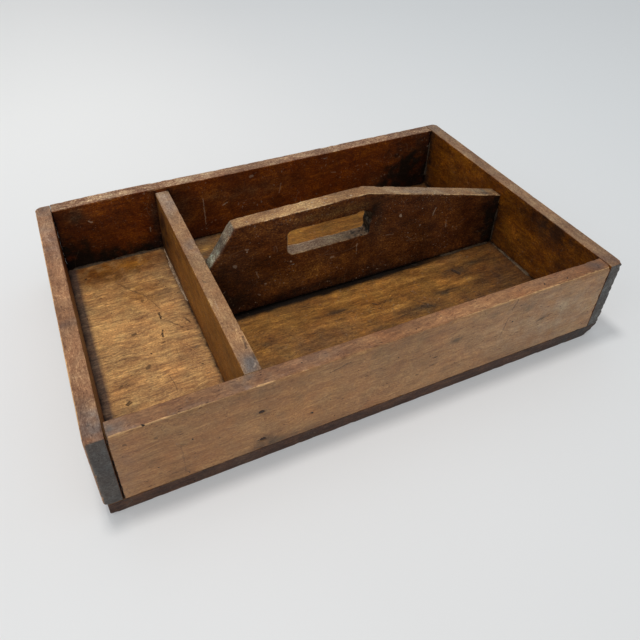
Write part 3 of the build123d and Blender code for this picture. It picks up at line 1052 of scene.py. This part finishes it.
def make_handle_board():
    outline = handle_outline()
    low, high = handle_low.copy(), handle_high.copy()
    low[0] = divider_high[0]
    y0, y1 = low[1], high[1]
    middle_y, half_y = (y0 + y1) / 2, (y1 - y0) / 2
    xs = np.arange(low[0] - 3.0, high[0] + 3.0, 1.0)
    zs = np.arange(low[2] - 3.0, high[2] + 3.0, 0.75)
    ys = ticks(y0, y1, 2.0)
    flat = grid_points(xs, zs)
    flat3 = np.column_stack([flat, 0 * flat[:, :1]])
    hole = hole_distance(flat[:, 0], flat[:, 1])
    # The saw and knife work round the hole is rough, most of all below and at the right
    x, z = flat.T
    rough = 0.8 + 0.9 * smooth_step(88.0, 72.0, z) + 3.4 * smooth_step(36.0, 58.0, x)
    hole = hole + rough * (layered_noise(flat3, 6.0, 73, 4) - 0.5)
    plan = polygon_distance(flat, outline) + 0.5 * (layered_noise(flat3, 40.0, 71, 2) - 0.5)
    plan = np.maximum(plan, -hole)
    grid = grid_points(xs, ys, zs)
    plan = np.broadcast_to(plan.reshape(len(xs), 1, len(zs)), (len(xs), len(ys), len(zs))).ravel()
    through = np.abs(grid[:, 1] - middle_y) - half_y
    depth = np.maximum(plan, through)
    close = (depth > -2.2) & (depth < OUTER_SHELL)
    radius = np.full(len(grid), 0.8)
    on_hole = smooth_step(9.0, 3.0, hole_distance(grid[close, 0], grid[close, 2]))
    left_slope = smooth_step(-66.0, -78.0, grid[close, 0]) * (grid[close, 2] > 66.0)
    worn = 1.0 + 0.6 * on_hole + 1.7 * left_slope
    radius[close] = np.clip(arris_radius(grid[close], worn, 7, 0.66), 0.6, 5.0)
    field = rounded([plan, through], radius)
    field[close] += 0.3 * waviness(grid[close], 7)
    vertices, quads = surface_net(field.reshape(len(xs), len(ys), len(zs)), xs, ys, zs)
    edge = np.abs(polygon_distance(vertices[:, [0, 2]], outline))
    x, z = vertices[:, 0], vertices[:, 2]
    at_hole = np.abs(hole_distance(x, z))
    face = np.abs(np.abs(vertices[:, 1] - middle_y) - half_y)
    arris = np.maximum(np.minimum(edge, at_hole), face)
    # The board leans back a little towards its top
    lean = 1.4
    vertices[:, 1] += lean * ((z - floor_z) / (high[2] - floor_z) - 0.5)
    board = Board("handle_board", 7, vertices, quads, low, high)
    board.color_faces({"front": (0.115, 0.031, 0.0058), "back": (0.11, 0.032, 0.007),
                       "top": (0.29, 0.153, 0.063), "left": (0.17, 0.14, 0.10), "right": SLATE},
                      variation=0.24)
    inside_hole = smooth_step(2.5, 0.8, at_hole) * (face > 0.6)
    across = smooth_step(-18.0, 40.0, x)[:, None]
    sill = (1 - across) * np.array([0.41, 0.250, 0.150]) + across * np.array([0.23, 0.140, 0.075])
    hole_tone = np.where(board.normals[:, 2:] > 0.5, sill, np.array([0.060, 0.043, 0.027]))
    # Its right end is bruised and dirty
    bruised = smooth_step(0.46, 0.58, board.noise(3.2, 30, 2)) * smooth_step(22.0, 50.0, x)
    hole_tone = hole_tone * (1 - 0.85 * bruised[:, None])
    board.blend(inside_hole, hole_tone)
    board.soil_and_shade(corner=0.7, wide=0.3, blotch=0.25, dust=0.05)
    uneven = 1 + 2.2 * (board.noise(13.0, 21) - 0.5)
    upward = np.clip(board.normals[:, 2] + 0.7, 0, 1)
    board.bare = 0.62 * smooth_step(1.7, 0.4, arris) * uneven * upward
    board.bare *= 1 - smooth_step(4.0, 1.5, at_hole) * smooth_step(30.0, 50.0, x)
    hole_rim = smooth_step(1.8, 0.5, np.maximum(at_hole, face))
    board.bare += 0.5 * hole_rim * smooth_step(20.0, -10.0, x)
    for face, x, z, size_x, size_z, color, amount in [
        ("left", -92, 88, 14, 16, (0.115, 0.094, 0.066), 0.8),
        ("left", -88, 96, 7, 4, (0.045, 0.036, 0.026), 0.6),
        ("left", -77, 112, 7, 4, (0.17, 0.14, 0.10), 0.6),
        ("top", 200, 80, 26, 12, (0.11, 0.078, 0.052), 0.8),
        ("top", 110, 100, 50, 12, (0.21, 0.14, 0.09), 0.7),
    ]:
        board.stain((x, handle_y, z), (size_x, 9, size_z), color, amount, face)
    # Painted shade in the inside corners at both ends of the front face
    board.stains("front", y0, [
        (-94, 36, 26, 36, SOOT_AND_SHADE, 0.92), (212, 45, 22, 46, SOOT_AND_SHADE, 0.95)])
    board.stains("front", y0, [(216, 50, 9, 60, SOOT_AND_SHADE, 0.8)], rough=0.3)
    # Stains on the front face; the wide sooty band low down is painted shade near the foot
    board.stains("front", y0, [
        (66, 84, 9, 18, (0.030, 0.018, 0.010), 0.6), (20, 104, 50, 6, (0.12, 0.055, 0.016), 0.6),
        (100, 45, 50, 20, (0.14, 0.046, 0.010), 0.5), (10, 42, 60, 14, (0.20, 0.066, 0.011), 0.85),
        (-56, 66, 30, 20, (0.070, 0.017, 0.002), 0.75), (58, 93, 9, 10, SOOT_AND_SHADE, 0.9),
        (0, 22, 110, 7, SOOT_AND_SHADE, 0.55)])
    # Painted shade along the foot of the front face
    board.stains("front", y0, [(30, 13, 150, 4, SOOT_AND_SHADE, 1.0)], rough=0.3)
    pale = marks_on(1, y0 + 0.3, [
        (-78.2, 72.6, -77, 72, 2.6, 0.5), (-23.6, 60.9, -23, 60.9, 1.3, 0.95),
        (-49.8, 42.6, -49, 43, 1.4, 0.94), (92.9, 81, 93.5, 80, 2.0, 0.95),
        (46.4, 60.6, 46.4, 48.3, 0.9, 0.7), (19, 52.5, 21, 52.5, 1.8, 0.6),
        (-66, 87.8, -65, 87, 1.4, 0.5), (-57, 32, -55.5, 31, 1.6, 0.5),
        (132, 70.5, 134.4, 78.4, 1.2, 0.6), (-44.4, 72.7, -44, 73, 1.0, 0.7),
        (-58, 60, -56, 52, 1.0, 0.4), (76, 62, 88, 60, 0.8, 0.4), (104, 52, 110, 47, 0.9, 0.5),
        (150, 60, 151, 51, 0.9, 0.5)])
    material = wood("handle_wood_aged", 0, 7.0, streak=0.9, patch=1.15, ring=0.10, flecks=0.7, specks=0.85,
                    grit=2.0, top_extra=-0.35, sway=1.3, tint=0.3, scratches=0.3, pith=(-50.0, 190.0, 0.03),
                    spread=(0.9, 1.15, 1.2), gloss=0.5, bare_color=(0.50, 0.32, 0.16, 1), pale_marks=pale)
    board.finish("handle_board_worn", material, "handle_wood")


# ---- nails and glue

def dress_nails():
    """The nails keep their CAD shape, in rusty iron."""
    rust = iron("nail_rust")
    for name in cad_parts:
        if name.endswith("_nails"):
            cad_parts[name].data.materials.clear()
            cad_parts[name].data.materials.append(rust)


def glue_fillet(node, faces, material, seed, leg, thin_end):
    """An uneven fillet of glue in the corner between two faces, along the node's longest side."""
    low, high = node_box(node)
    axis = int(np.argmax(high - low))
    stations = np.arange(low[axis], high[axis], 0.8)
    ways = []
    corner = np.zeros(3)
    for face in faces:
        face_axis, side = FACES[face]
        corner[face_axis] = (high if side > 0 else low)[face_axis]
        way = np.zeros(3)
        way[face_axis] = -side
        ways.append(way)
    along = np.zeros((len(stations), 3))
    along[:, axis] = stations
    t = np.linspace(0, 1, len(stations))
    taper = smooth_step(0, 0.04, t) * smooth_step(1, 0.94, t) * (1 - (1 - thin_end) * t)
    lump = layered_noise(along + corner, 9.0, seed)
    broken = smooth_step(0.36, 0.50, layered_noise(along + corner, 15.0, seed + 4, 2))
    size = leg * taper * (0.45 + 0.8 * lump) * (0.3 + 0.7 * broken) + 0.15
    steps = 6
    rings = []
    for k in range(steps + 1):
        angle = k / steps * math.pi / 2
        # A hollow quarter round between the two faces
        first = (1 - math.sin(angle)) ** 1.3
        second = (1 - math.cos(angle)) ** 1.3
        wobble = 1 + 0.35 * (layered_noise(along + corner + k * 1.4, 5.0, seed + 8) - 0.5)
        rings.append(corner + along + (size * wobble)[:, None] * (first * ways[0] + second * ways[1]))
    # Its back edge is buried in the corner
    rings.append(corner + along - 0.8 * (ways[0] + ways[1]))
    grid = np.stack(rings, axis=1)
    count = grid.shape[1]
    index = np.arange(grid.shape[0] * count).reshape(grid.shape[0], count)
    nxt = np.roll(index, -1, axis=1)
    quads = np.stack([index[:-1], nxt[:-1], nxt[1:], index[1:]], axis=-1).reshape(-1, 4)
    vertices = grid.reshape(-1, 3)
    # Close both ends on a middle point
    ends = np.stack([grid[0].mean(axis=0), grid[-1].mean(axis=0)])
    caps = [(index[k, j], nxt[k, j], len(vertices) + number) for number, k in enumerate((0, -1))
            for j in range(count)]
    vertices = np.concatenate([vertices, ends])
    piece = tube_object(node + "_old", vertices, quads, caps, material)
    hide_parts(node)
    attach(piece, "root")


def tube_object(name, vertices, quads, triangles, material):
    """A closed tube with its faces turned outwards."""
    mesh = bpy.data.meshes.new(name)
    faces = [tuple(int(i) for i in corners) for corners in [*quads, *triangles]]
    mesh.from_pydata([tuple(v) for v in vertices * MM], [], faces)
    shape = bmesh.new()
    shape.from_mesh(mesh)
    bmesh.ops.recalc_face_normals(shape, faces=shape.faces)
    shape.to_mesh(mesh)
    shape.free()
    mesh.polygons.foreach_set("use_smooth", np.ones(len(mesh.polygons), dtype=bool))
    return link_mesh(name, mesh, material)


def make_glue():
    """The six fillets of old glue; the one along the divider is palest."""
    dirty = glue("glue_dirty", (0.042, 0.026, 0.014, 1), (0.125, 0.080, 0.042, 1))
    sooty = glue("glue_sooty", (0.024, 0.015, 0.010, 1), (0.075, 0.050, 0.030, 1))
    pale = glue("glue_pale", (0.22, 0.135, 0.075, 1), (0.46, 0.32, 0.21, 1))
    for seed, (node, faces, material, leg, thin_end) in enumerate([
        ("left_back_glue", ("back", "bottom"), dirty, 1.8, 1.2),
        ("left_divider_glue", ("right", "bottom"), pale, 1.8, 1.8),
        ("handle_foot_glue", ("back", "bottom"), dirty, 2.4, 1.3),
        ("handle_corner_glue", ("right", "back"), sooty, 1.9, 0.5),
        ("right_end_glue", ("right", "bottom"), dirty, 2.1, 0.5),
        ("back_corner_glue", ("right", "back"), sooty, 1.8, 0.5),
    ], start=101):
        glue_fillet(node, faces, material, seed, leg, thin_end)


# ---- studio

def make_studio():
    """Pale paper under the tray, an even sky and two soft lamps."""
    mesh = bpy.data.meshes.new("studio_floor")
    half = 4.0
    corners = [(-half, -half, 0), (half, -half, 0), (half, half, 0), (-half, half, 0)]
    mesh.from_pydata(corners, [], [(0, 1, 2, 3)])
    floor = link_mesh("studio_floor", mesh, studio_floor("studio_paper"))

    world = bpy.data.worlds.new("studio_world")
    bpy.context.scene.world = world
    world.use_nodes = True
    background = world.node_tree.nodes["Background"]
    background.inputs["Color"].default_value = (0.94, 0.97, 1.0, 1)
    background.inputs["Strength"].default_value = 0.55

    # A soft lamp nearly overhead, and a wide weak one on the left
    for name, place, size, power, color in [
        ("soft_top", (-0.21, 0.09, 1.60), 0.22, 11.0, (1.0, 0.975, 0.94)),
        ("wide_left", (-1.5, -0.1, 1.0), 1.4, 6.0, (1.0, 0.99, 0.97)),
    ]:
        light = bpy.data.lights.new(name, "AREA")
        light.shape = "SQUARE"
        light.size = size
        light.energy = power
        light.color = color
        lamp = bpy.data.objects.new(name, light)
        lamp.location = place
        lamp.rotation_euler = (-lamp.location).to_track_quat("-Z", "Y").to_euler()
        bpy.context.scene.collection.objects.link(lamp)


def make_camera():
    """The eye in front of the tray's left half, looking down and to the right."""
    camera = bpy.data.cameras.new("camera")
    camera.lens = 34.655
    camera.sensor_width = 36.0
    camera.shift_x = 0.030
    camera.shift_y = -0.0946
    camera.clip_start = 0.01
    eye = bpy.data.objects.new("camera", camera)
    eye.location = (-0.2011, -0.4104, 0.4208)
    eye.rotation_euler = Euler([math.radians(a) for a in (51.35, -0.51, -24.20)], "XYZ")
    bpy.context.scene.collection.objects.link(eye)
    bpy.context.scene.camera = eye
    bpy.context.scene.view_settings.view_transform = "Standard"


make_front_board()
make_back_board()
make_end_board(-1)
make_end_board(1)
make_base_board()
make_divider()
make_handle_board()
make_glue()
dress_nails()
make_studio()
make_camera()
